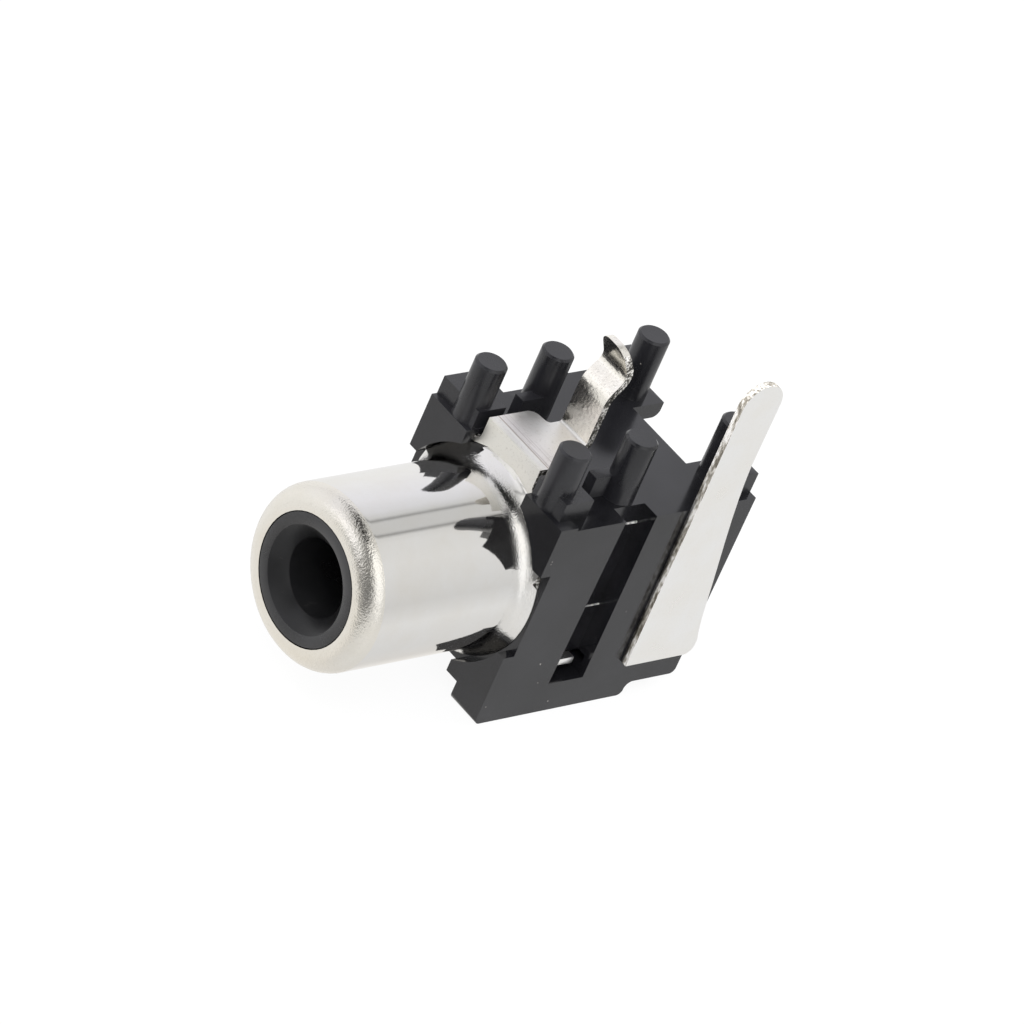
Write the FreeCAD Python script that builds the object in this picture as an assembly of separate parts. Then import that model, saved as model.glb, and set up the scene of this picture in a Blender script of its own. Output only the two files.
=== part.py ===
import FreeCAD, Part
import math
import os

# Right-angle phono (RCA) socket for a printed circuit board, in millimetres
#
# Frame: +X to the side that carries the signal blade, -Y out of the barrel's mouth,
# +Z towards the circuit board. The origin is on the barrel's axis, where the shell's
# flange rests against the housing.

# Body of the housing
half_width = 4.75
deck_height = 4.85
belly_depth = 4.9
body_back = 8.75
foot_width = 1.82
foot_inner = half_width - foot_width
foot_depth = belly_depth + 0.95
foot_back = body_back - 0.98
heel_depth = belly_depth + 0.25
edge_rounding = 0.3
heel_rounding = 0.4

# Barrel of the shell
barrel_radius = 4.15          # outside, takes the plug's outer ring
barrel_length = 9.7           # from the flange seat to the mouth
shell_wall = 0.35
mouth_radius = 3.0            # hole in the rolled-in mouth
mouth_rounding = 1.0          # outside radius of the rolled mouth
flare_radius = 0.75           # outside radius between barrel and flange

# Flange of the shell
flange_radius = barrel_radius + 0.3
shoulder_half_width = half_width - 0.5
shoulder_height = deck_height - 0.25
shoulder_rounding = 0.4

# Ground strap and its snap-in tail
strap_half_width = 1.84
strap_top = deck_height + 1.05     # outside face of the strap
strap_bend = 0.5                   # outside bend radius
strap_neck = 2.2                   # from the flange seat to where the strap narrows
neck_rounding = 0.45
tail_half_width = 0.89
tail_seat = 3.1                    # front face of the tail, behind the flange seat
tail_bend = 0.5
kink_start = strap_top + 2.5
kink_peak = strap_top + 3.6
kink_depth = 0.8
tail_top = strap_top + 5.1
tail_lean = 0.35                   # how far the tip leans forward of the tail's root
tail_tip_half_width = 0.78
tail_tip_rounding = 0.66

# Retaining lips in front of the flange
lip_front = 1.0
lip_top = deck_height + 0.15
arch_radius = flange_radius + 0.35
lip_slot_half_width = strap_half_width + 0.32
side_notch_top = 2.4
side_notch_top_far = 2.2      # on the side away from the blade
side_notch_bottom = -2.1
flange_gap = 0.1              # clearance round the flange
flange_play = 0.05            # clearance in front of the flange

# Corner blocks at the back
block_back = body_back + 1.9
block_inner = 1.95
shelf_bottom = deck_height - 0.8   # underside of the thin block on the side away from the blade
shelf_rounding = 0.4

# Board seats and pegs
seat_height = deck_height + 1.1
seat_root = 0.1               # how far seats and pegs reach into the deck
peg_radius = 0.75
peg_root_radius = 0.77        # drafted foot of a peg
peg_straight = seat_height + 0.1
peg_height = seat_height + 2.05
peg_half_spacing = half_width - 1.7
peg_rows = (-0.22, 3.7, 9.45)
peg_chamfer = 0.1
front_seat_front = -0.7
front_seat_back = 0.9
front_seat_inner = peg_half_spacing - 0.85
front_seat_outer = half_width - 0.55  # on the blade's side; the other one reaches the side face
rib_inner = peg_half_spacing - 0.65
rib_outer = peg_half_spacing - 0.1
rib_front = 2.05
rib_back = 3.7
rear_seat = (peg_half_spacing + 0.45, half_width - 0.35, 9.5, 10.55)
rear_seat_far = (-half_width, -peg_half_spacing - 0.85, 9.5, 10.4)

# Tall slots in the sides
slot_front_top = 2.9
slot_front_low = 2.65
slot_back = 4.7
slot_floor = 0.65 - belly_depth
slot_depth = 0.9
far_slot_depth = 0.5          # the same slot in the other side

# Chamber for the plug's pin
chamber_radius = 2.05
chamber_back = 7.2

# Insulating sleeve inside the barrel
sleeve_gap = 0.05
bore_radius = 1.75
funnel_radius = 2.4
funnel_depth = 0.66

# Signal terminal, one stamping
sheet = 0.35
blade_front_top = 6.6
blade_front_low = 6.75
blade_back = 8.9
blade_top = 11.8
blade_bottom = -3.75
blade_rounding = 0.5
blade_flare = ((8.9, 7.2), (9.09, 5.3), (9.37, 3.55), (9.71, 1.78), (10.16, -0.59), (10.6, -2.6))
blade_heel = 10.72
arm_front = 7.3               # arm that joins the blade to the leaf, along the barrel's axis
arm_back = 8.4
arm_bend = 0.325              # radius of the sheet's middle
web_outer = 3.1               # how far the web beside the leaf reaches towards the blade
leaf_offset = 1.625           # the leaf's middle, from the barrel's axis
leaf_half_height = 0.7
leaf_front = 0.6
leaf_web_front = 3.35
leaf_web_back = 4.6
leaf_mouth = 0.3              # how far the leaf's nose opens outwards
tongue_end = 4.25
tongue_width = 0.85
floor_middle = blade_bottom + sheet / 2     # the stamping's floor, between blade and leaf
slit_gap = 0.05
leaf_room = 0.25

# How far a cutter reaches past the face that it opens
overrun = 1.0


def vec(x, y, z):
    return FreeCAD.Vector(x, y, z)


def in_xz(u, v):
    return vec(u, 0, v)


def in_yz(u, v):
    return vec(0, u, v)


def in_xy(u, v):
    return vec(u, v, 0)


def along(axis, size):
    return {"x": vec(size, 0, 0), "y": vec(0, size, 0), "z": vec(0, 0, size)}[axis]


def block(x0, x1, y0, y1, z0, z1):
    return Part.makeBox(x1 - x0, y1 - y0, z1 - z0, vec(x0, y0, z0))


def rounded(corners, plane):
    """Closed wire through corners (u, v, radius), each rounded by its radius."""
    count = len(corners)
    spans = []
    for i in range(count):
        u, v, radius = corners[i]
        before = corners[i - 1]
        after = corners[(i + 1) % count]
        if radius <= 0:
            spans.append(((u, v), None, (u, v)))
            continue
        ax, ay = before[0] - u, before[1] - v
        bx, by = after[0] - u, after[1] - v
        la, lb = math.hypot(ax, ay), math.hypot(bx, by)
        ax, ay, bx, by = ax / la, ay / la, bx / lb, by / lb
        half = math.acos(max(-1.0, min(1.0, ax * bx + ay * by))) / 2
        reach = radius / math.tan(half)
        mx, my = ax + bx, ay + by
        lm = math.hypot(mx, my)
        tip = radius / math.sin(half) - radius
        middle = (u + mx / lm * tip, v + my / lm * tip)
        spans.append(((u + ax * reach, v + ay * reach), middle, (u + bx * reach, v + by * reach)))
    edges = []
    for i in range(count):
        start, middle, end = spans[i]
        if middle:
            edges.append(Part.Arc(plane(*start), plane(*middle), plane(*end)).toShape())
        following = spans[(i + 1) % count][0]
        if math.hypot(following[0] - end[0], following[1] - end[1]) > 1e-6:
            edges.append(Part.makeLine(plane(*end), plane(*following)))
    return Part.Wire(edges)


def prism(corners, plane, axis, low, high):
    """Rounded outline, pushed along an axis from low to high."""
    face = Part.Face(rounded(corners, plane))
    face.translate(along(axis, low))
    return face.extrude(along(axis, high - low))


def sheet_strip(path, plane, axis, low, high, thickness):
    """Bent sheet: a middle line of (u, v, bend radius), given a thickness and a width."""
    left, right = [], []
    count = len(path)
    for i in range(count):
        u, v, radius = path[i]
        normals = []
        for j, k in ((i - 1, i), (i, i + 1)):
            if j < 0 or k >= count:
                continue
            du, dv = path[k][0] - path[j][0], path[k][1] - path[j][1]
            length = math.hypot(du, dv)
            normals.append((-dv / length, du / length))
        nu = sum(n[0] for n in normals) / len(normals)
        nv = sum(n[1] for n in normals) / len(normals)
        scale = thickness / 2 / (nu * nu + nv * nv)
        turn = 0.0
        if len(normals) == 2:
            turn = normals[0][0] * normals[1][1] - normals[0][1] * normals[1][0]
        inner = max(radius - thickness / 2, 0.0)
        outer = radius + thickness / 2 if radius > 0 else 0.0
        left.append((u + nu * scale, v + nv * scale, inner if turn > 0 else outer))
        right.append((u - nu * scale, v - nv * scale, outer if turn > 0 else inner))
    return prism(left + right[::-1], plane, axis, low, high)


def turned(points):
    """Solid of revolution about the barrel's axis; an entry may be ('arc', middle, end)."""
    edges = []
    last = points[0]
    for entry in points[1:] + [points[0]]:
        if entry[0] == "arc":
            middle, end = entry[1], entry[2]
            ends = vec(last[0], last[1], 0), vec(end[0], end[1], 0)
            edges.append(Part.Arc(ends[0], vec(middle[0], middle[1], 0), ends[1]).toShape())
            last = end
        else:
            edges.append(Part.makeLine(vec(last[0], last[1], 0), vec(entry[0], entry[1], 0)))
            last = entry
    face = Part.Face(Part.Wire(edges))
    return face.revolve(vec(0, 0, 0), vec(0, 1, 0), 360)


def on_arc(centre, radius, degrees):
    angle = math.radians(degrees)
    return (centre[0] + radius * math.cos(angle), centre[1] + radius * math.sin(angle))


# Shell: barrel, flange, strap and tail drawn from one sheet

def flange_outline():
    """Flange and strap as cut out of the sheet, seen along the barrel."""
    disc = Part.Face(Part.Wire(Part.makeCircle(flange_radius, vec(0, 0, 0), vec(0, 1, 0))))
    shoulder_corners = [
        (-shoulder_half_width, 0, 0),
        (-shoulder_half_width, shoulder_height, shoulder_rounding),
        (-strap_half_width, shoulder_height, shoulder_rounding),
        (-strap_half_width, strap_top, 0),
        (strap_half_width, strap_top, 0),
        (strap_half_width, shoulder_height, shoulder_rounding),
        (shoulder_half_width, shoulder_height, shoulder_rounding),
        (shoulder_half_width, 0, 0),
    ]
    shoulders = Part.Face(rounded(shoulder_corners, in_xz))
    outline = disc.fuse(shoulders).removeSplitter()
    outline.translate(vec(0, -barrel_length - overrun, 0))
    return outline.extrude(vec(0, barrel_length + 2 * overrun, 0))


def drawn_barrel():
    """Barrel with its rolled mouth and flared foot, turned, then trimmed to the flange."""
    mouth = -barrel_length
    roll = (barrel_radius - mouth_rounding, mouth + mouth_rounding)
    flare = (barrel_radius + flare_radius, -shell_wall - flare_radius)
    inner_roll = mouth_rounding - shell_wall
    inner_flare = flare_radius + shell_wall
    reach = math.hypot(shoulder_half_width, strap_top) + overrun
    profile = [
        (mouth_radius, mouth),
        (roll[0], mouth),
        ("arc", on_arc(roll, mouth_rounding, -45), (barrel_radius, roll[1])),
        (barrel_radius, flare[1]),
        ("arc", on_arc(flare, flare_radius, 135), (flare[0], -shell_wall)),
        (reach, -shell_wall),
        (reach, 0),
        (flare[0], 0),
        ("arc", on_arc(flare, inner_flare, 135), (barrel_radius - shell_wall, flare[1])),
        (barrel_radius - shell_wall, roll[1]),
        ("arc", on_arc(roll, inner_roll, -45), (roll[0], mouth + shell_wall)),
        (mouth_radius, mouth + shell_wall),
    ]
    return turned(profile).common(flange_outline())


def strap_and_tail():
    """Strap folded back over the housing, then up into the kinked tail."""
    half = shell_wall / 2
    tail_middle = tail_seat + half
    path = [
        (-half, shoulder_height + 0.6, 0),
        (-half, strap_top - half, strap_bend - half),
        (tail_middle, strap_top - half, tail_bend - half),
        (tail_middle, kink_start, 1.2),
        (tail_middle + kink_depth, kink_peak, 0.75),
        (tail_middle - tail_lean, tail_top + 0.4, 0),
    ]
    sheet_shape = sheet_strip(path, in_yz, "x", -strap_half_width, strap_half_width, shell_wall)
    plan = [
        (-strap_half_width, -1, 0),
        (strap_half_width, -1, 0),
        (strap_half_width, strap_neck, neck_rounding),
        (tail_half_width, strap_neck + 0.15, neck_rounding / 2),
        (tail_half_width, 8, 0),
        (-tail_half_width, 8, 0),
        (-tail_half_width, strap_neck + 0.15, neck_rounding / 2),
        (-strap_half_width, strap_neck, neck_rounding),
    ]
    front = [
        (-strap_half_width - 1, 0, 0),
        (strap_half_width + 1, 0, 0),
        (strap_half_width + 1, kink_start, 0),
        (tail_half_width, kink_start + 0.6, 0),
        (tail_tip_half_width, tail_top, tail_tip_rounding),
        (-tail_tip_half_width, tail_top, tail_tip_rounding),
        (-tail_half_width, kink_start + 0.6, 0),
        (-strap_half_width - 1, kink_start, 0),
    ]
    cut = sheet_shape.common(prism(plan, in_xy, "z", 0, tail_top + 2))
    return cut.common(prism(front, in_xz, "y", -3, 8))


def make_shell():
    return drawn_barrel().fuse(strap_and_tail()).removeSplitter()


# Insulating sleeve

def make_insulator():
    mouth = -barrel_length
    roll = (barrel_radius - mouth_rounding, mouth + mouth_rounding)
    roll_radius = mouth_rounding - shell_wall - sleeve_gap
    outside = barrel_radius - shell_wall - sleeve_gap
    nose = mouth_radius - sleeve_gap
    profile = [
        (bore_radius, 0),
        (bore_radius, mouth + funnel_depth),
        (funnel_radius, mouth),
        (nose, mouth),
        (nose, roll[1] - roll_radius),
        (roll[0], roll[1] - roll_radius),
        (outside, roll[1]),
        (outside, 0),
    ]
    return turned(profile)


# Housing, one moulding

def side_profile(low, back):
    """Feet seen from the side, with the raised heel behind them."""
    return [
        (-lip_front, low, 0),
        (back, low, 0),
        (back, -heel_depth, edge_rounding),
        (foot_back, -heel_depth, heel_rounding),
        (foot_back, -foot_depth, edge_rounding),
        (-lip_front, -foot_depth, edge_rounding),
    ]


def body_block():
    """Body with its two feet and the corner block behind the blade."""
    body = block(-half_width, half_width, 0, body_back, -belly_depth, deck_height)
    right_foot = prism(side_profile(-belly_depth + 0.5, block_back), in_yz, "x", foot_inner, half_width)
    left_foot = prism(side_profile(-belly_depth + 0.5, body_back), in_yz, "x", -half_width, -foot_inner)
    feet_room = block(-half_width, half_width, -lip_front - overrun, 0, -belly_depth, deck_height)
    corner = block(block_inner, half_width, body_back - 0.5, block_back, -belly_depth, deck_height)
    feet = right_foot.fuse(left_foot).cut(feet_room)
    return body.fuse([feet, corner])


def far_shelf():
    """Thin block at the back, on the side away from the blade."""
    corners = [
        (body_back - 0.5, shelf_bottom, 0),
        (block_back, shelf_bottom, shelf_rounding),
        (block_back, deck_height, 0),
        (body_back - 0.5, deck_height, 0),
    ]
    return prism(corners, in_yz, "x", -half_width, -block_inner)


def front_frame():
    """Lips and the recess behind them that holds the flange."""
    frame = block(-half_width, half_width, -lip_front, 0, -belly_depth, lip_top)
    groove = -shell_wall - flange_play
    before = -lip_front - overrun
    arch = Part.makeCylinder(arch_radius, groove - before, vec(0, before, 0), vec(0, 1, 0))
    slot = block(
        -lip_slot_half_width, lip_slot_half_width, before, 0,
        -belly_depth - overrun, lip_top + overrun)
    notch = block(0, half_width + overrun, before, groove, side_notch_bottom, side_notch_top)
    far_notch = block(-half_width - overrun, 0, before, groove, side_notch_bottom, side_notch_top_far)
    recess = Part.makeCylinder(flange_radius + flange_gap, -groove, vec(0, groove, 0), vec(0, 1, 0))
    corner_room = block(
        -shoulder_half_width - flange_gap, shoulder_half_width + flange_gap, groove, 0,
        0, shoulder_height + flange_gap)
    return frame.cut([arch, slot, notch, far_notch, recess, corner_room])


def peg(x, y):
    """Round peg with a drafted foot and a slight chamfer at its tip."""
    low = deck_height - seat_root
    profile = [
        (0, low),
        (peg_root_radius, low),
        (peg_radius, peg_straight),
        (peg_radius, peg_height - peg_chamfer),
        (peg_radius - peg_chamfer, peg_height),
        (0, peg_height),
    ]
    edges = Part.makePolygon([vec(r, 0, z) for r, z in profile + [profile[0]]])
    solid = Part.Face(edges).revolve(vec(0, 0, 0), vec(0, 0, 1), 360)
    solid.translate(vec(x, y, 0))
    return solid


def board_side():
    """Six pegs and the seats that hold the circuit board off the deck."""
    low = deck_height - seat_root
    pieces = []
    for y in peg_rows:
        pieces.append(peg(peg_half_spacing, y))
        pieces.append(peg(-peg_half_spacing, y))
    pieces.append(block(front_seat_inner, front_seat_outer, front_seat_front, front_seat_back, low, seat_height))
    pieces.append(block(-half_width, -front_seat_inner, front_seat_front, front_seat_back, low, seat_height))
    pieces.append(block(rib_inner, rib_outer, rib_front, rib_back, low, seat_height))
    pieces.append(block(-rib_outer, -rib_inner, rib_front, rib_back, low, seat_height))
    for x0, x1, y0, y1 in (rear_seat, rear_seat_far):
        pieces.append(block(x0, x1, y0, y1, low, seat_height))
    return pieces


def side_slots():
    """Tall slots in both sides, open at the deck."""
    corners = [
        (slot_front_low, slot_floor, 0),
        (slot_back, slot_floor, 0),
        (slot_back, deck_height + overrun, 0),
        (slot_front_top, deck_height + overrun, 0),
    ]
    near = prism(corners, in_yz, "x", half_width - slot_depth, half_width + overrun)
    far = prism(corners, in_yz, "x", -half_width - overrun, -half_width + far_slot_depth)
    return [near, far]


def terminal_rooms():
    """Chamber for the plug's pin, and the slits that the stamping is pushed into."""
    chamber = Part.makeCylinder(chamber_radius, chamber_back + overrun, vec(0, -overrun, 0), vec(0, 1, 0))
    face = leaf_offset - sheet / 2 - slit_gap
    low = floor_middle - sheet / 2 - slit_gap
    high = floor_middle + sheet / 2 + slit_gap
    slit = block(
        face, leaf_offset + sheet / 2 + leaf_room, leaf_web_front - 0.15, block_back + overrun,
        low, leaf_half_height + slit_gap)
    nose_room = block(
        face, leaf_offset + sheet / 2 + leaf_mouth + leaf_room, leaf_front - 0.25, leaf_web_front,
        -leaf_half_height - slit_gap, leaf_half_height + slit_gap)
    channel = block(
        leaf_offset, tongue_end + 0.1, leaf_web_front - slit_gap, block_back + overrun,
        low, high)
    arm_groove = block(
        block_inner - overrun, half_width + overrun, arm_front - slit_gap, block_back + overrun,
        low, high)
    return [chamber, slit, nose_room, channel, arm_groove]


def make_housing():
    solid = body_block().fuse([far_shelf(), front_frame()] + board_side())
    solid = solid.cut(side_slots() + terminal_rooms())
    return solid.removeSplitter()


# Signal terminal, one stamping

def blade_plate():
    """Flat blade on the housing's side, widening towards its foot."""
    tip_radius = (blade_back - blade_front_top) / 2
    shoulder = blade_top - tip_radius
    middle = blade_front_top + tip_radius
    heel_turn = blade_rounding * (1 - math.sqrt(0.5))
    flare = Part.BSplineCurve()
    heel = (blade_heel, blade_bottom + blade_rounding + 0.3)
    flare.interpolate([vec(0, y, z) for y, z in blade_flare + (heel,)])
    edges = [
        Part.makeLine(vec(0, blade_front_low, blade_bottom), vec(0, blade_front_top, shoulder)),
        Part.Arc(
            vec(0, blade_front_top, shoulder),
            vec(0, middle, blade_top),
            vec(0, blade_back, shoulder)).toShape(),
        Part.makeLine(vec(0, blade_back, shoulder), vec(0, *blade_flare[0])),
        flare.toShape(),
        Part.makeLine(vec(0, *heel), vec(0, blade_heel, blade_bottom + blade_rounding)),
        Part.Arc(
            vec(0, blade_heel, blade_bottom + blade_rounding),
            vec(0, blade_heel - heel_turn, blade_bottom + heel_turn),
            vec(0, blade_heel - blade_rounding, blade_bottom)).toShape(),
        Part.makeLine(vec(0, blade_heel - blade_rounding, blade_bottom), vec(0, blade_front_low, blade_bottom)),
    ]
    face = Part.Face(Part.Wire(edges))
    face.translate(vec(half_width, 0, 0))
    return face.extrude(vec(sheet, 0, 0))


def leaf():
    """Spring leaf beside the plug's pin, with its nose opened outwards."""
    path = [
        (leaf_offset, leaf_web_back + 1, 0),
        (leaf_offset, leaf_front + 1.0, 1.0),
        (leaf_offset + leaf_mouth, leaf_front, 0),
    ]
    strip = sheet_strip(path, in_xy, "z", floor_middle + arm_bend, leaf_half_height + 1, sheet)
    pattern = [
        (leaf_web_back, floor_middle, 0),
        (leaf_web_front, floor_middle, 0),
        (leaf_web_front, -leaf_half_height, 0.5),
        (leaf_front - 1, -leaf_half_height, 0),
        (leaf_front - 1, leaf_half_height, 0),
        (leaf_web_back, leaf_half_height, 0.3),
    ]
    return strip.common(prism(pattern, in_yz, "x", 0, half_width + 2))


def stamped_floor():
    """Floor between leaf and blade, with the tongue seen in the housing's slot."""
    outer = half_width + sheet / 2
    path = [
        (leaf_offset, floor_middle + arm_bend + 0.2, 0),
        (leaf_offset, floor_middle, arm_bend),
        (outer, floor_middle, 0),
    ]
    strip = sheet_strip(path, in_xz, "y", leaf_web_front, arm_back, sheet)
    plan = [
        (leaf_offset - sheet, leaf_web_front, 0),
        (tongue_end, leaf_web_front, 0),
        (tongue_end, leaf_web_front + tongue_width, 0),
        (web_outer, leaf_web_front + tongue_width, 0.3),
        (web_outer, arm_front, 0.3),
        (outer + sheet, arm_front, 0),
        (outer + sheet, arm_back, 0),
        (leaf_offset + arm_bend, arm_back, 0),
        (leaf_offset + arm_bend, leaf_web_back, 0),
        (leaf_offset - sheet, leaf_web_back, 0),
    ]
    return strip.common(prism(plan, in_xy, "z", blade_bottom - 1, leaf_half_height))


def make_terminal():
    return blade_plate().fuse([leaf(), stamped_floor()]).removeSplitter()


def one_solid(shape):
    solids = shape.Solids
    if len(solids) != 1:
        raise ValueError("expected one solid, found %d" % len(solids))
    return solids[0]


os.makedirs("parts", exist_ok=True)
housing = one_solid(make_housing())
shell = one_solid(make_shell())
insulator = one_solid(make_insulator())
signal_terminal = one_solid(make_terminal())

housing.exportStep("parts/housing.step")
shell.exportStep("parts/shell.step")
insulator.exportStep("parts/insulator.step")
signal_terminal.exportStep("parts/signal_terminal.step")
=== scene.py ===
"""Right-angle phono (RCA) socket for a circuit board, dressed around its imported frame."""
import math

import bmesh
import bpy
from mathutils import Matrix, Vector


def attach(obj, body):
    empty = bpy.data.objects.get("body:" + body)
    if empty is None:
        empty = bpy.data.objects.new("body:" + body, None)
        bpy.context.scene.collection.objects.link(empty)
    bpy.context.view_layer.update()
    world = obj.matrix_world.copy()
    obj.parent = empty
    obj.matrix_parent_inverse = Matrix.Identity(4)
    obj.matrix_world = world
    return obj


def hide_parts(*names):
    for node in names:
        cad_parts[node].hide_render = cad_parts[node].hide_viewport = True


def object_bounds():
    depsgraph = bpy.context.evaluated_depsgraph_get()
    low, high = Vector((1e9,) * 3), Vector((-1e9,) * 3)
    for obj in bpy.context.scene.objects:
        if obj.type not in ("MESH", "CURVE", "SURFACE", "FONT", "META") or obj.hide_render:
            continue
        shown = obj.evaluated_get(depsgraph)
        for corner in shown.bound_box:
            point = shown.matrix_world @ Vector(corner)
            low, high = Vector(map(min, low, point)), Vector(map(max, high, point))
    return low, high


bl_info = {
    "name": "Phono Socket",
    "version": (1, 0, 0),
    "blender": (4, 5, 0),
    "location": "3D View > Sidebar > Socket",
    "description": "Dresses a board-mounted phono socket and sets its studio",
    "category": "Object",
}

MM = 0.001
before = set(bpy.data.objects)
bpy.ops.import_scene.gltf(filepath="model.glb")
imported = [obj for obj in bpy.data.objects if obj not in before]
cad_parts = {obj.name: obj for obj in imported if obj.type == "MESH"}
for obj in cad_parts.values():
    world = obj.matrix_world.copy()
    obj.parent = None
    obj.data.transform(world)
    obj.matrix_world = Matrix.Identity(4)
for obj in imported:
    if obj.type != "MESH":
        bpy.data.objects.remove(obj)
cad_low, cad_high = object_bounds()

# Colours of the light and of small marks, and two depths of relief
WHITE = (1.0, 1.0, 1.0, 1.0)
DUST = (0.22, 0.205, 0.19, 1.0)
PITS = (0.36, 0.33, 0.28, 1.0)
TOOL_LINES = (0.5, 0.46, 0.44, 1.0)
FAINT_RELIEF = 0.01 * MM
PEEL_RELIEF = 0.02 * MM

# How fine drawn lines and scuffs are along each axis: a low value stretches them along it
ALONG_BARREL = (6000.0, 300.0, 6000.0)
ACROSS_STRAP = (700.0, 9000.0, 9000.0)
DOWN_BLADE = (7000.0, 7000.0, 500.0)
BESIDE_FOLD = (260.0, 15000.0, 300.0)
SCUFFS = (2600.0, 900.0, 7000.0)

# Where the fold's tint changes, from below the strap's fold to beyond it, and how strong its lines are
FOLD_SPAN = (-0.4 * MM, 1.6 * MM)
FOLD_TINT = (
    (0.0, (0.97, 0.97, 0.935)), (0.06, (0.975, 0.97, 0.94)), (0.13, 1.0), (0.262, 1.0),
    (0.282, (0.5, 0.43, 0.37)), (0.31, (0.97, 0.95, 0.97)), (1.0, 1.0))
FOLD_LINES = ((0.26, 0.0), (0.29, 0.8), (0.42, 0.5), (0.75, 0.0))

# Painted shade on the blade's cut edge, next to the housing: where it brightens across its thickness, and
# up its height
CUT_SHADE_SPLIT = (4.83 * MM, 4.93 * MM)
CUT_SHADE_RISE = (4.4 * MM, 7.0 * MM)

# Material slots of the shell, after the bright one at 0
FOLDED, CUT, ROLLED, TAIL, FLARED = range(1, 6)

# Ledges in the side slot: height above the barrel's axis and half the thickness, then both ends
LEDGES = ((3.83 * MM, 0.04 * MM), (-0.78 * MM, 0.022 * MM))
LEDGE_START = (3.83 * MM, 2.95 * MM)
LEDGE_END = (3.9 * MM, 4.7 * MM)

# Beyond the barrel's radius: the flange's edge, the flare's face, and the starts of strap and tail
FLANGE_REACH = 0.3 * MM
FLARE_REACH = 0.42 * MM
STRAP_START = 0.55 * MM
TAIL_START = 1.95 * MM

# Half the width of the strap's shoulders, and how far the flange's round edge stands forward
SHOULDER = 4.2 * MM
EDGE_FORWARD = 0.1 * MM

# Above the deck: where the tail's tip starts, for its edges and for its faces
TIP_EDGES = 5.4 * MM
TIP_FACES = 5.5 * MM

# Softboxes: name, place, size in metres, power in watts
LAMPS = (
    ("Key softbox", (0.10, -0.16, 0.22), 0.16, 0.55),
    ("Fill softbox", (-0.18, -0.10, 0.14), 0.16, 0.3),
    ("Back softbox", (0.02, 0.20, 0.18), 0.18, 0.35))
SOFT_LEVEL = 0.85
FLOOR_GLOW = 0.93
FLOOR_HALF_SIDE = 1.5

# The mirrored room. Each place is a share of the turn about the barrel's axis.
ROOM_BANDS = (
    (0.0, 0.97), (0.083, 0.92), (0.178, (0.90, 0.88, 0.85)), (0.236, (0.78, 0.765, 0.745)),
    (0.306, 0.79), (0.372, 0.83), (0.417, 0.87), (0.489, 0.74), (0.556, 0.80), (0.625, 0.85),
    (0.694, 0.82), (0.713, 0.77), (0.722, 0.34), (0.731, 0.66), (0.769, 0.66), (0.778, 0.34),
    (0.787, 0.68), (0.811, (0.80, 0.80, 0.83)), (0.861, (0.92, 0.92, 0.97)),
    (0.956, (0.98, 0.98, 1.0)), (1.0, 0.97))

# Its dark and bright spans: the middle and half width of each, as a share of the way along the barrel
DARK_MIDDLES = (
    (0.0, -1.0), (0.33, -1.0), (0.42, -0.9), (0.514, -0.85), (0.628, -0.80), (0.683, -0.60),
    (0.725, -0.28), (0.778, -0.15), (0.814, -0.02), (0.861, 0.05))
DARK_HALVES = (
    (0.0, 0.08), (0.33, 0.1), (0.42, 0.12), (0.514, 0.26), (0.628, 0.22), (0.683, 0.28),
    (0.725, 0.36), (0.778, 0.26), (0.814, 0.14), (0.85, 0.0))
BRIGHT_MIDDLES = ((0.44, -0.1), (0.628, -0.1), (0.672, -0.1), (0.733, -0.85), (0.9, -0.85))
BRIGHT_HALVES = (
    (0.44, 0.0), (0.53, 0.28), (0.628, 0.36), (0.672, 0.24), (0.733, 0.13), (0.86, 0.12), (0.95, 0.0))

# How soft their edges are, where and how dark the room gets, and how bright the openings are
PATCH_EDGE = (-0.06, 0.08)
DARK_TURNS = (0.69, 0.72)
DARK_DEPTHS = (-0.74, -0.96)
OPENING_GAIN = 0.5

# Camera at the photograph's viewing angle: its right, up and back directions, place and lens
CAMERA_AXES = (
    (0.5858536, 0.7321741, 0.3474142),
    (-0.6245629, 0.1347343, 0.7692645),
    (0.5164269, -0.6676584, 0.5362234))
CAMERA_PLACE = (0.18989711, -0.24407568, 0.19898211)
CAMERA_LENS = 299.52
CAMERA_SENSOR = 36.0


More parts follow.
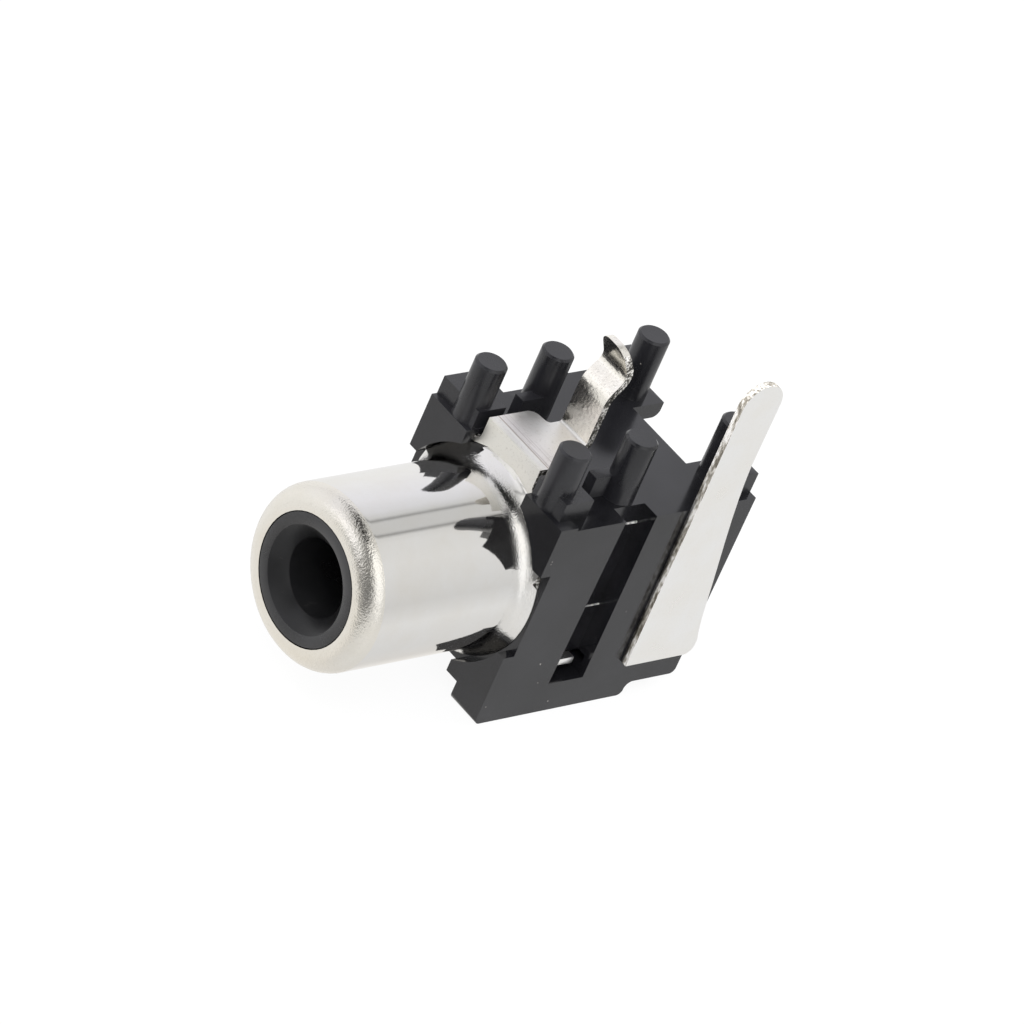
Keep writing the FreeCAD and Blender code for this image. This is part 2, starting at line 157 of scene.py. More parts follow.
class SocketSizes(bpy.types.PropertyGroup):
    """Sizes of the socket's pieces, in metres."""

    barrel_radius: bpy.props.FloatProperty(
        name="Barrel radius", description="Outside radius of the barrel",
        default=4.15 * MM, unit="LENGTH", precision=5)
    barrel_length: bpy.props.FloatProperty(
        name="Barrel length", description="From the flange seat to the mouth",
        default=9.7 * MM, unit="LENGTH", precision=5)
    sheet: bpy.props.FloatProperty(
        name="Sheet", description="Thickness of the shell's and the terminal's sheet",
        default=0.35 * MM, unit="LENGTH", precision=5)
    mouth_radius: bpy.props.FloatProperty(
        name="Mouth radius", description="Hole in the rolled-in mouth",
        default=3.0 * MM, unit="LENGTH", precision=5)
    mouth_rounding: bpy.props.FloatProperty(
        name="Mouth rounding", description="Outside radius of the rolled mouth",
        default=1.0 * MM, unit="LENGTH", precision=5)
    flare_radius: bpy.props.FloatProperty(
        name="Flare radius", description="Outside radius between barrel and flange",
        default=0.75 * MM, unit="LENGTH", precision=5)
    wide_flare: bpy.props.FloatProperty(
        name="Wide flare", description="Radius of the flare's outside as it is drawn",
        default=1.2 * MM, unit="LENGTH", precision=5)
    flange_growth: bpy.props.FloatProperty(
        name="Flange growth", description="How far the flange's round edge is drawn out",
        default=0.17 * MM, unit="LENGTH", precision=5)
    tip_rounding: bpy.props.FloatProperty(
        name="Tip rounding", description="Rounding of the cut edges at the tail's tip",
        default=0.165 * MM, unit="LENGTH", precision=6)
    bore_radius: bpy.props.FloatProperty(
        name="Bore radius", description="Hole for the plug's centre pin",
        default=1.75 * MM, unit="LENGTH", precision=5)
    funnel_radius: bpy.props.FloatProperty(
        name="Funnel radius", description="Mouth of the funnel in the insulator",
        default=2.4 * MM, unit="LENGTH", precision=5)
    funnel_depth: bpy.props.FloatProperty(
        name="Funnel depth", description="Depth of the funnel in the insulator",
        default=0.66 * MM, unit="LENGTH", precision=5)
    sleeve_gap: bpy.props.FloatProperty(
        name="Sleeve gap", description="Clearance between the insulator and the shell",
        default=0.05 * MM, unit="LENGTH", precision=5)
    deck_height: bpy.props.FloatProperty(
        name="Deck height", description="From the barrel's axis to the deck with the pegs",
        default=4.85 * MM, unit="LENGTH", precision=5)
    moulded_edge: bpy.props.FloatProperty(
        name="Moulded edge", description="Rounding of the housing's edges",
        default=0.07 * MM, unit="LENGTH", precision=6)
    sheared_edge: bpy.props.FloatProperty(
        name="Sheared edge", description="Rounding of the sheet's edges",
        default=0.05 * MM, unit="LENGTH", precision=6)


class SocketColours(bpy.types.PropertyGroup):
    """Colours of the socket's finishes and of its studio."""

    housing: bpy.props.FloatVectorProperty(
        name="Housing", description="Black moulded plastic of the housing",
        default=(0.008, 0.008, 0.0095), subtype="COLOR", min=0.0, max=1.0)
    insert: bpy.props.FloatVectorProperty(
        name="Insert", description="Black moulded plastic of the insulator",
        default=(0.014, 0.014, 0.015), subtype="COLOR", min=0.0, max=1.0)
    nickel: bpy.props.FloatVectorProperty(
        name="Nickel", description="Bright plating of the shell",
        default=(0.82, 0.81, 0.79), subtype="COLOR", min=0.0, max=1.0)
    tin: bpy.props.FloatVectorProperty(
        name="Tin", description="Plating of the signal blade",
        default=(0.97, 0.965, 0.95), subtype="COLOR", min=0.0, max=1.0)
    studio: bpy.props.FloatVectorProperty(
        name="Studio", description="Pale floor and surround",
        default=(0.92, 0.92, 0.93), subtype="COLOR", min=0.0, max=1.0)


def sizes():
    """The scene's sizes."""
    return bpy.context.scene.socket_sizes


def colours():
    """The scene's colours."""
    return bpy.context.scene.socket_colours


def scaled(colour, *factors):
    """A colour times one factor, or times one for each channel, kept at 1 or less."""
    factors = factors if len(factors) == 3 else factors * 3
    return tuple(min(channel * factor, 1.0) for channel, factor in zip(colour, factors))


# Shader helpers

def put(tree, kind, **inputs):
    """Adds a node; keyword names are properties, and a dict called sockets sets its sockets."""
    node = tree.nodes.new(kind)
    sockets = inputs.pop("sockets", {})
    for name, value in inputs.items():
        setattr(node, name, value)
    for name, value in sockets.items():
        if isinstance(value, bpy.types.NodeSocket):
            tree.links.new(value, node.inputs[name])
        else:
            node.inputs[name].default_value = value
    return node


def feed(tree, node, sources):
    """Links sockets to a node's named inputs."""
    for name, source in sources.items():
        tree.links.new(source, node.inputs[name])


def maths(tree, operation, *values, clamp=False):
    """One maths step on sockets or plain numbers."""
    given = dict(enumerate(values))
    return put(tree, "ShaderNodeMath", operation=operation, use_clamp=clamp, sockets=given).outputs[0]


def spread(tree, value, source, target, easing="LINEAR"):
    """Maps a value from one span onto another."""
    spans = {"Value": value, 1: source[0], 2: source[1], 3: target[0], 4: target[1]}
    return put(tree, "ShaderNodeMapRange", interpolation_type=easing, sockets=spans).outputs[0]


def noise(tree, place, scale, detail, roughness=0.5):
    """Cloudy noise between 0 and 1."""
    given = {"Vector": place, "Scale": scale, "Detail": detail, "Roughness": roughness}
    return put(tree, "ShaderNodeTexNoise", sockets=given).outputs["Fac"]


def mixed(tree, share, first, second, way="MIX"):
    """Two colours mixed, or multiplied."""
    given = {0: share, 6: first, 7: second}
    return put(tree, "ShaderNodeMix", data_type="RGBA", blend_type=way, sockets=given).outputs[2]


def relief(tree, height, strength, depth, below=None):
    """Bump of a height, on top of another bump if one is given."""
    sockets = {"Strength": strength, "Distance": depth, "Height": height}
    if below is not None:
        sockets["Normal"] = below
    return put(tree, "ShaderNodeBump", sockets=sockets).outputs[0]


def ramp(tree, factor, stops):
    """Colour ramp through stops of a place and a grey or a colour."""
    node = put(tree, "ShaderNodeValToRGB", sockets={"Fac": factor})
    elements = node.color_ramp.elements
    for index, (place, grey) in enumerate(stops):
        element = elements[index] if index < len(elements) else elements.new(place)
        element.position = place
        colour = grey if isinstance(grey, tuple) else (grey, grey, grey)
        element.color = (*colour, 1.0)
    return node.outputs["Color"]


def new_group(name, inputs, outputs):
    """Empty shader group with float or vector sockets."""
    group = bpy.data.node_groups.new(name, "ShaderNodeTree")
    for label, kind, default in inputs:
        socket = group.interface.new_socket(name=label, in_out="INPUT", socket_type=kind)
        if default is not None:
            socket.default_value = default
    for label, kind in outputs:
        group.interface.new_socket(name=label, in_out="OUTPUT", socket_type=kind)
    return group, group.nodes.new("NodeGroupInput").outputs, group.nodes.new("NodeGroupOutput")


def dust_group():
    """Sparse pale specks of uneven size and shape."""
    group, given, out = new_group(
        "Dust specks",
        [("Vector", "NodeSocketVector", None), ("Scale", "NodeSocketFloat", 900.0),
         ("Size", "NodeSocketFloat", 0.12), ("Share", "NodeSocketFloat", 0.12)],
        [("Mask", "NodeSocketFloat")])
    ragged = put(group, "ShaderNodeTexNoise",
                 sockets={"Vector": given["Vector"], "Scale": 9000.0, "Detail": 2.0})
    shift = put(group, "ShaderNodeVectorMath", operation="SCALE",
                sockets={0: ragged.outputs["Color"], "Scale": 0.06 * MM})
    moved = put(group, "ShaderNodeVectorMath", operation="ADD",
                sockets={0: given["Vector"], 1: shift.outputs[0]})
    cells = put(group, "ShaderNodeTexVoronoi",
                sockets={"Vector": moved.outputs[0], "Scale": given["Scale"]})
    pick = put(group, "ShaderNodeSeparateColor", sockets={"Color": cells.outputs["Color"]}).outputs
    reach = maths(group, "MULTIPLY", given["Size"], pick["Green"])
    near = maths(group, "LESS_THAN", cells.outputs["Distance"], reach)
    few = maths(group, "LESS_THAN", pick["Red"], given["Share"])
    feed(group, out, {"Mask": maths(group, "MULTIPLY", near, few)})
    return group


def grain_group():
    """Two sizes of noise added together, for orange peel and moulded grain."""
    group, given, out = new_group(
        "Fine grain",
        [("Vector", "NodeSocketVector", None), ("Scale", "NodeSocketFloat", 3000.0),
         ("Coarse share", "NodeSocketFloat", 0.5)],
        [("Height", "NodeSocketFloat")])
    fine = noise(group, given["Vector"], given["Scale"], 4.0)
    wide = maths(group, "MULTIPLY", given["Scale"], 0.22)
    coarse = noise(group, given["Vector"], wide, 2.0)
    mix = put(group, "ShaderNodeMix", sockets={0: given["Coarse share"], 2: fine, 3: coarse})
    feed(group, out, {"Height": mix.outputs[0]})
    return group


def scratch_group():
    """Fine lines along one direction: stretched noise, sharpened."""
    group, given, out = new_group(
        "Fine scratches",
        [("Vector", "NodeSocketVector", None), ("Stretch", "NodeSocketVector", (400.0, 6000.0, 6000.0)),
         ("Threshold", "NodeSocketFloat", 0.62)],
        [("Mask", "NodeSocketFloat"), ("Height", "NodeSocketFloat")])
    drawn = put(group, "ShaderNodeVectorMath", operation="MULTIPLY",
                sockets={0: given["Vector"], 1: given["Stretch"]})
    lines = noise(group, drawn.outputs[0], 1.0, 3.0)
    over = maths(group, "SUBTRACT", lines, given["Threshold"])
    mask = maths(group, "MULTIPLY", over, 9.0, clamp=True)
    feed(group, out, {"Mask": mask, "Height": lines})
    return group


def use_group(tree, name, maker, **sockets):
    """Puts a shared group into a material, and makes the group the first time."""
    group = bpy.data.node_groups.get(name) or maker()
    given = {label.replace("_", " "): value for label, value in sockets.items()}
    return put(tree, "ShaderNodeGroup", node_tree=group, sockets=given).outputs


def grain_height(tree, place, scale, coarse_share):
    """Height of the shared fine grain."""
    made = use_group(tree, "Fine grain", grain_group, Vector=place, Scale=scale, Coarse_share=coarse_share)
    return made["Height"]


def scratches(tree, place, stretch, threshold):
    """Mask and height of the shared fine scratches."""
    return use_group(
        tree, "Fine scratches", scratch_group, Vector=place, Stretch=stretch, Threshold=threshold)


def fresh_material(name):
    """Empty material with its main shader and its object coordinates."""
    material = bpy.data.materials.new(name)
    material.use_nodes = True
    tree = material.node_tree
    tree.nodes.clear()
    shader = put(tree, "ShaderNodeBsdfPrincipled")
    put(tree, "ShaderNodeOutputMaterial", sockets={"Surface": shader.outputs[0]})
    return material, tree, shader, put(tree, "ShaderNodeTexCoord").outputs["Object"]


def moulded_plastic(name, colour, roughness, grain, specks, sheen=0.5):
    """Black moulded plastic with a sheen, fine grain, flow shading, scuffs and dust."""
    material, tree, shader, place = fresh_material(name)
    flow = noise(tree, place, 330.0, 4.0)
    shade = ramp(tree, flow, [(0.32, scaled(colour, 0.7)), (0.68, scaled(colour, 1.5))])
    dust = use_group(
        tree, "Dust specks", dust_group, Vector=place, Scale=1900.0, Size=0.085, Share=specks)
    scuff = scratches(tree, place, SCUFFS, 0.68)
    marks = maths(tree, "MULTIPLY_ADD", scuff["Mask"], 0.06, dust["Mask"], clamp=True)
    worn = spread(tree, flow, (0.3, 0.7), (roughness * 0.8, roughness * 1.3))
    fine = grain_height(tree, place, 6000.0, 0.75)
    feed(tree, shader, {
        "Base Color": mixed(tree, marks, shade, DUST),
        "Roughness": maths(tree, "MULTIPLY_ADD", marks, 0.4, worn),
        "Normal": relief(tree, fine, grain, FAINT_RELIEF)})
    shader.inputs["IOR"].default_value = 1.5
    shader.inputs["Specular IOR Level"].default_value = sheen
    return material


def painted_highlight_plastic(name, colour):
    """Plastic painted pale in patches along a thin edge: a painted highlight."""
    material, tree, shader, place = fresh_material(name)
    highlight_patches = noise(tree, place, 5200.0, 3.0)
    feed(tree, shader, {
        "Base Color": ramp(tree, highlight_patches, [(0.38, 0.03), (0.54, colour)]),
        "Roughness": spread(tree, highlight_patches, (0.3, 0.7), (0.3, 0.6))})
    return material


def folded_tint(tree, place, shade):
    """Tints the sheet across the strap's fold: duller below it, then a thin dark brown line and drawn
    lines.
    """
    across = put(tree, "ShaderNodeSeparateXYZ", sockets={0: place}).outputs["Y"]
    step = spread(tree, across, FOLD_SPAN, (0.0, 1.0))
    tinted = mixed(tree, 1.0, shade, ramp(tree, step, FOLD_TINT), "MULTIPLY")
    lines = scratches(tree, place, BESIDE_FOLD, 0.5)
    amount = maths(tree, "MULTIPLY", lines["Mask"], ramp(tree, step, FOLD_LINES))
    return mixed(tree, amount, tinted, TOOL_LINES)


def plated_sheet(name, colour, roughness, stretch, peel, scratch, speckle=0.0, lined=0.04, grain=5200.0,
                 depth=PEEL_RELIEF, fold=False):
    """Bright plated sheet: orange peel, drawing lines, pits and a few smudges."""
    material, tree, shader, place = fresh_material(name)
    smudge = noise(tree, place, 420.0, 5.0, 0.6)
    shade = ramp(tree, smudge, [(0.3, scaled(colour, 0.97, 0.955, 0.925)), (0.62, colour)])
    if fold:
        shade = folded_tint(tree, place, shade)
    pits = noise(tree, place, 8200.0, 3.0, 0.7)
    pitted = spread(tree, pits, (0.56, 0.72), (0.0, speckle))
    lines = scratches(tree, place, stretch, 0.6)
    rough = spread(tree, smudge, (0.3, 0.75), (roughness * 0.8, roughness * 1.3))
    peeled = relief(tree, grain_height(tree, place, grain, 0.5), peel, depth)
    feed(tree, shader, {
        "Base Color": mixed(tree, pitted, shade, PITS),
        "Roughness": maths(tree, "MULTIPLY_ADD", lines["Mask"], lined, rough),
        "Normal": relief(tree, lines["Height"], scratch, FAINT_RELIEF, peeled)})
    shader.inputs["Metallic"].default_value = 1.0
    return material


def shaded_half(tree, place, shade, split):
    """Painted shade on the inner half of a cut edge, against the housing, fading out up the blade."""
    sides = put(tree, "ShaderNodeSeparateXYZ", sockets={0: place}).outputs
    half = spread(tree, sides["X"], split, (0.12, 1.0), "SMOOTHSTEP")
    above = spread(tree, sides["Z"], CUT_SHADE_RISE, (0.0, 1.0), "SMOOTHSTEP")
    return mixed(tree, 1.0, shade, maths(tree, "MAXIMUM", half, above), "MULTIPLY")


def sheared_metal(name, dark, middle, pale, stretch=(1.0, 1.0, 1.0), split=None):
    """Cut edge of the sheet: torn metal, streaked along the cut, with bright flecks; a split adds painted
    shade.
    """
    material, tree, shader, place = fresh_material(name)
    drawn = put(tree, "ShaderNodeVectorMath", operation="MULTIPLY", sockets={0: place, 1: stretch})
    torn = grain_height(tree, drawn.outputs[0], 9000.0, 0.4)
    shade = ramp(tree, torn, [(0.38, dark), (0.49, middle), (0.58, pale)])
    # Painted shade on the inner half of the edge, where the housing stands close behind it
    if split:
        shade = shaded_half(tree, place, shade, split)
    feed(tree, shader, {
        "Base Color": shade,
        "Roughness": spread(tree, torn, (0.35, 0.65), (0.6, 0.3)),
        "Metallic": spread(tree, torn, (0.42, 0.58), (0.75, 0.35)),
        "Normal": relief(tree, torn, 0.8, 0.03 * MM)})
    return material


# Mesh helpers

def as_piece(name, mesh, node, materials):
    """Links a finished mesh as one piece that stands for a node of the frame."""
    data = mesh_from(mesh, name)
    piece = bpy.data.objects.new(name, data)
    bpy.context.scene.collection.objects.link(piece)
    for material in materials:
        data.materials.append(material)
    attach(piece, "root")
    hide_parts(node)
    return piece


def mesh_from(mesh, name):
    """Turns the mesh being edited into a mesh of the scene."""
    data = bpy.data.meshes.new(name)
    mesh.to_mesh(data)
    mesh.free()
    return data


def smooth_by_angle(mesh, degrees):
    """Smooth shading, with the edges sharper than the angle kept crisp."""
    limit = math.radians(degrees)
    for face in mesh.faces:
        face.smooth = True
    for edge in mesh.edges:
        if len(edge.link_faces) == 2:
            edge.smooth = edge.calc_face_angle(0.0) < limit


def sharp_edges(mesh, degrees, level=-math.inf):
    """Edges sharper than the angle that lie above a height."""
    limit = math.radians(degrees)
    return [
        edge for edge in mesh.edges
        if len(edge.link_faces) == 2 and edge.calc_face_angle(0.0) > limit
        and min(vert.co.z for vert in edge.verts) > level]


def bevel(mesh, edges, width, segments=2):
    """Rounds the edges."""
    bmesh.ops.bevel(
        mesh, geom=edges, offset=width, offset_type="OFFSET", segments=segments, profile=0.5,
        affect="EDGES", clamp_overlap=True, material=-1)


def mark(mesh, index, wanted):
    """Gives the wanted faces another material slot."""
    mesh.normal_update()
    for face in mesh.faces:
        if wanted(face.calc_center_median(), face.normal):
            face.material_index = index


def weighted(piece):
    """Keeps large flat faces evenly shaded beside their rounded edges."""
    finish = piece.modifiers.new("Even shading", "WEIGHTED_NORMAL")
    finish.keep_sharp = True
    finish.weight = 80


def from_axis(point):
    """Distance from the barrel's axis."""
    return math.hypot(point.x, point.z)


def arc(centre, radius, start, end, count):
    """Points (r, y) on an arc, angles in degrees."""
    points = []
    for step in range(count + 1):
        angle = math.radians(start + (end - start) * step / count)
        points.append((centre[0] + radius * math.cos(angle), centre[1] + radius * math.sin(angle)))
    return points


def spun(profile, steps):
    """Closed profile of (r, y) points turned about the barrel's axis."""
    mesh = bmesh.new()
    verts = [mesh.verts.new((r, y, 0.0)) for r, y in profile]
    edges = [mesh.edges.new(ends) for ends in zip(verts, verts[1:] + verts[:1])]
    bmesh.ops.spin(
        mesh, geom=verts + edges, cent=(0, 0, 0), axis=(0, 1, 0), dvec=(0, 0, 0),
        angle=math.tau, steps=steps, use_merge=True)
    bmesh.ops.remove_doubles(mesh, verts=mesh.verts, dist=1e-7)
    bmesh.ops.recalc_face_normals(mesh, faces=mesh.faces)
    return mesh


def copy_of_node(node):
    """The frame's solid, merged into flat faces."""
    mesh = bmesh.new()
    mesh.from_mesh(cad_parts[node].data)
    bmesh.ops.remove_doubles(mesh, verts=mesh.verts, dist=2e-6)
    bmesh.ops.dissolve_limit(
        mesh, angle_limit=math.radians(1.0), use_dissolve_boundaries=False,
        verts=mesh.verts, edges=mesh.edges, delimit={"NORMAL"})
    return mesh


class SOCKET_OT_housing(bpy.types.Operator):
    """Moulds the black housing with softened edges"""

    bl_idname = "socket.housing"
    bl_label = "Housing"

    def execute(self, context):
        mesh = copy_of_node("housing")
        bevel(mesh, sharp_edges(mesh, 35), sizes().moulded_edge)
        smooth_by_angle(mesh, 40)
        # Faces above the deck take the lighter peg plastic: painted light, along with its real rougher
        # grain
        deck = sizes().deck_height + 0.05 * MM
        mark(mesh, 1, lambda at, way: at.z > deck)
        self.slot_ledges(mesh)
        colour = tuple(colours().housing)
        finishes = [
            moulded_plastic("Housing plastic", colour, roughness=0.15, grain=0.12, specks=0.07),
            # Colour lifted 1.25 times over the housing's: painted light; its rougher grain and extra dust
            # specks are real
            moulded_plastic("Peg plastic", scaled(colour, 1.25), roughness=0.27, grain=0.8, specks=0.12),
            # Pale plastic for the slot's ledges: a painted highlight
            painted_highlight_plastic("Painted highlight plastic", (0.75, 0.74, 0.72))]
        weighted(as_piece("housing_moulding", mesh, "housing", finishes))
        return {"FINISHED"}

    def slot_ledges(self, mesh):
        """Two slim moulding ledges across the wall at the back of the side slot, given the painted
        highlight
        """
        for height, half in LEDGES:
            low = Vector((*LEDGE_START, height - half))
            high = Vector((*LEDGE_END, height + half))
            shape = Matrix.Translation((low + high) / 2) @ Matrix.Diagonal((*(high - low), 1.0))
            made = bmesh.ops.create_cube(mesh, size=1.0, matrix=shape)
            # The ledges' faces take slot 2, the painted highlight
            for vert in made["verts"]:
                for face in vert.link_faces:
                    face.material_index = 2


class SOCKET_OT_shell(bpy.types.Operator):
    """Draws the plated shell: barrel, flange, strap and tail"""

    bl_idname = "socket.shell"
    bl_label = "Shell"

    def execute(self, context):
        mesh = copy_of_node("shell")
        self.widen_flare(mesh)
        tip = sizes().deck_height + TIP_EDGES
        bevel(mesh, sharp_edges(mesh, 35, tip), sizes().tip_rounding, 5)
        smooth_by_angle(mesh, 30)
        self.mark_finishes(mesh)
        as_piece("drawn_shell", mesh, "shell", self.finishes())
        return {"FINISHED"}

    def mark_finishes(self, mesh):
        """Sorts the shell's faces by how the sheet was worked there"""
        s = sizes()
        flange = -s.sheet * 1.02
        foot = -s.sheet - s.wide_flare
        rim = 0.8 * s.mouth_rounding - s.barrel_length
        strap = s.barrel_radius + STRAP_START
        tail = s.barrel_radius + TAIL_START
        tip = s.deck_height + TIP_FACES
        drawn = s.barrel_radius + FLARE_REACH
        mark(mesh, FOLDED, lambda at, way: at.y > flange or at.z > strap)
        mark(mesh, TAIL, lambda at, way: at.z > tail)
        mark(mesh, CUT, lambda at, way: at.y > flange and at.z <= strap and abs(way.y) < 0.3)
        mark(mesh, CUT, lambda at, way: strap < at.z < tip and abs(way.x) > 0.2)
        mark(mesh, CUT, lambda at, way: at.z >= tip and abs(way.x) > 0.85)
        mark(mesh, ROLLED, lambda at, way: at.y < rim and way.y < -0.02)
        mark(mesh, FLARED, lambda at, way: foot < at.y < flange and way.y < -0.02 and from_axis(at) < drawn)

    def finishes(self):
        """The shell's materials, in the order of their slots"""
        colour = tuple(colours().nickel)
        gold = scaled(colour, 1.03, 1.01, 0.96)
        return [
            plated_sheet("Bright nickel", colour, 0.05, ALONG_BARREL, peel=0.06, scratch=0.05),
            plated_sheet(
                "Folded nickel", scaled(colour, 1.13), 0.38, ACROSS_STRAP,
                peel=0.35, scratch=0.25, speckle=0.3, lined=0.03, fold=True),
            sheared_metal("Sheared nickel", (0.03, 0.03, 0.03), (0.16, 0.15, 0.13), (0.9, 0.88, 0.84)),
            plated_sheet(
                "Rolled nickel", gold, 0.08, ALONG_BARREL,
                peel=1.0, scratch=0.03, speckle=0.12, lined=0.0, grain=12000.0, depth=0.04 * MM),
            plated_sheet(
                "Tail nickel", scaled(gold, 1.1), 0.17, ACROSS_STRAP,
                peel=0.95, scratch=0.1, speckle=0.55, lined=0.05, grain=6500.0),
            plated_sheet(
                "Flared nickel", colour, 0.06, ALONG_BARREL,
                peel=1.0, scratch=0.02, speckle=0.1, lined=0.0, grain=13000.0)]

    def widen_flare(self, mesh):
        """Draws the flare's outside from a wider radius, between the same inner and outer rings"""
        s = sizes()
        outer = s.barrel_radius + s.flare_radius
        centre = s.barrel_radius + s.wide_flare
        start = -s.sheet - s.flare_radius - 0.01 * MM
        left_over = s.wide_flare - math.sqrt(s.wide_flare ** 2 - (centre - outer) ** 2)
        for vert in mesh.verts:
            r = from_axis(vert.co)
            across = math.hypot(r - outer, vert.co.y + s.sheet + s.flare_radius)
            in_front = start < vert.co.y < -s.sheet + 0.001 * MM
            if in_front and abs(across - s.flare_radius) < 0.01 * MM:
                share = (r - s.barrel_radius) / s.flare_radius
                reach = s.wide_flare - math.sqrt(max(s.wide_flare ** 2 - (centre - r) ** 2, 0.0))
                vert.co.y = -s.sheet - reach + left_over * max(share, 0.0) ** 3
                self.draw_out(vert, r)
        mesh.normal_update()

    def draw_out(self, vert, r):
        """Moves a point of the flange's round edge outwards, clear of the strap's shoulders"""
        s = sizes()
        edge = s.barrel_radius + FLANGE_REACH
        clear = vert.co.z < 0.02 * MM or abs(vert.co.x) > SHOULDER
        if clear and abs(r - edge) < 0.005 * MM:
            grown = (edge + s.flange_growth) / r
            vert.co = Vector((vert.co.x * grown, -s.sheet - EDGE_FORWARD, vert.co.z * grown))


class SOCKET_OT_insulator(bpy.types.Operator):
    """Turns the black sleeve with its funnel"""

    bl_idname = "socket.insulator"
    bl_label = "Insulator"

    def execute(self, context):
        mesh = spun(self.profile(), 128)
        smooth_by_angle(mesh, 35)
        mouth = -sizes().barrel_length
        hollow = sizes().funnel_radius + 0.01 * MM
        # Funnel and bore take a darker copy of the insert's plastic: painted shade in the hollow
        mark(mesh, 1, lambda at, way: from_axis(at) < hollow and at.y > mouth)
        colour = tuple(colours().insert)
        finishes = [
            moulded_plastic("Insert plastic", colour, roughness=0.26, grain=0.15, specks=0.03),
            # Colour 0.6 times the insert's: painted shade inside the funnel
            moulded_plastic(
                "Funnel plastic", scaled(colour, 0.6), roughness=0.34, grain=0.3, specks=0.01, sheen=0.3)]
        as_piece("funnel_sleeve", mesh, "insulator", finishes)
        return {"FINISHED"}

    def profile(self):
        """The sleeve's closed outline: bore, funnel, nose, roll and outside"""
        s = sizes()
        mouth = -s.barrel_length
        floor = mouth + s.funnel_depth
        edge = 0.03 * MM
        outside = s.barrel_radius - s.sheet - s.sleeve_gap
        nose = s.mouth_radius - s.sleeve_gap
        roll = (s.barrel_radius - s.mouth_rounding, mouth + s.mouth_rounding)
        roll_radius = s.mouth_rounding - s.sheet - s.sleeve_gap
        return [
            (s.bore_radius, 0.0),
            (s.bore_radius, floor + edge),
            (s.bore_radius + edge * 0.6, floor - edge * 0.5),
            (s.funnel_radius - edge * 0.6, mouth + edge * 0.7),
            (s.funnel_radius + edge * 0.5, mouth),
            *arc((nose - edge, mouth + edge), edge, -90, 0, 4),
            (nose, roll[1] - roll_radius),
            *arc(roll, roll_radius, -90, 0, 12),
            (outside, 0.0)]


class SOCKET_OT_terminal(bpy.types.Operator):
    """Stamps the signal terminal with its flat blade"""

    bl_idname = "socket.terminal"
    bl_label = "Signal terminal"

    def execute(self, context):
        mesh = copy_of_node("signal_terminal")
        bevel(mesh, sharp_edges(mesh, 35), sizes().sheared_edge)
        smooth_by_angle(mesh, 40)
        mark(mesh, 1, lambda at, way: at.x > 4.5 * MM and abs(way.x) < 0.5)
        plating = plated_sheet(
            "Tin plating", tuple(colours().tin), 0.32, DOWN_BLADE, peel=0.12, scratch=0.08, speckle=0.06)
        # Painted shade on the inner half of the blade's cut edge, lower down
        cut = sheared_metal(
            "Sheared tin", (0.30, 0.27, 0.22), (0.66, 0.62, 0.55), (0.95, 0.93, 0.9),
            stretch=(1.0, 1.0, 0.35), split=CUT_SHADE_SPLIT)
        weighted(as_piece("stamped_terminal", mesh, "signal_terminal", [plating, cut]))
        return {"FINISHED"}


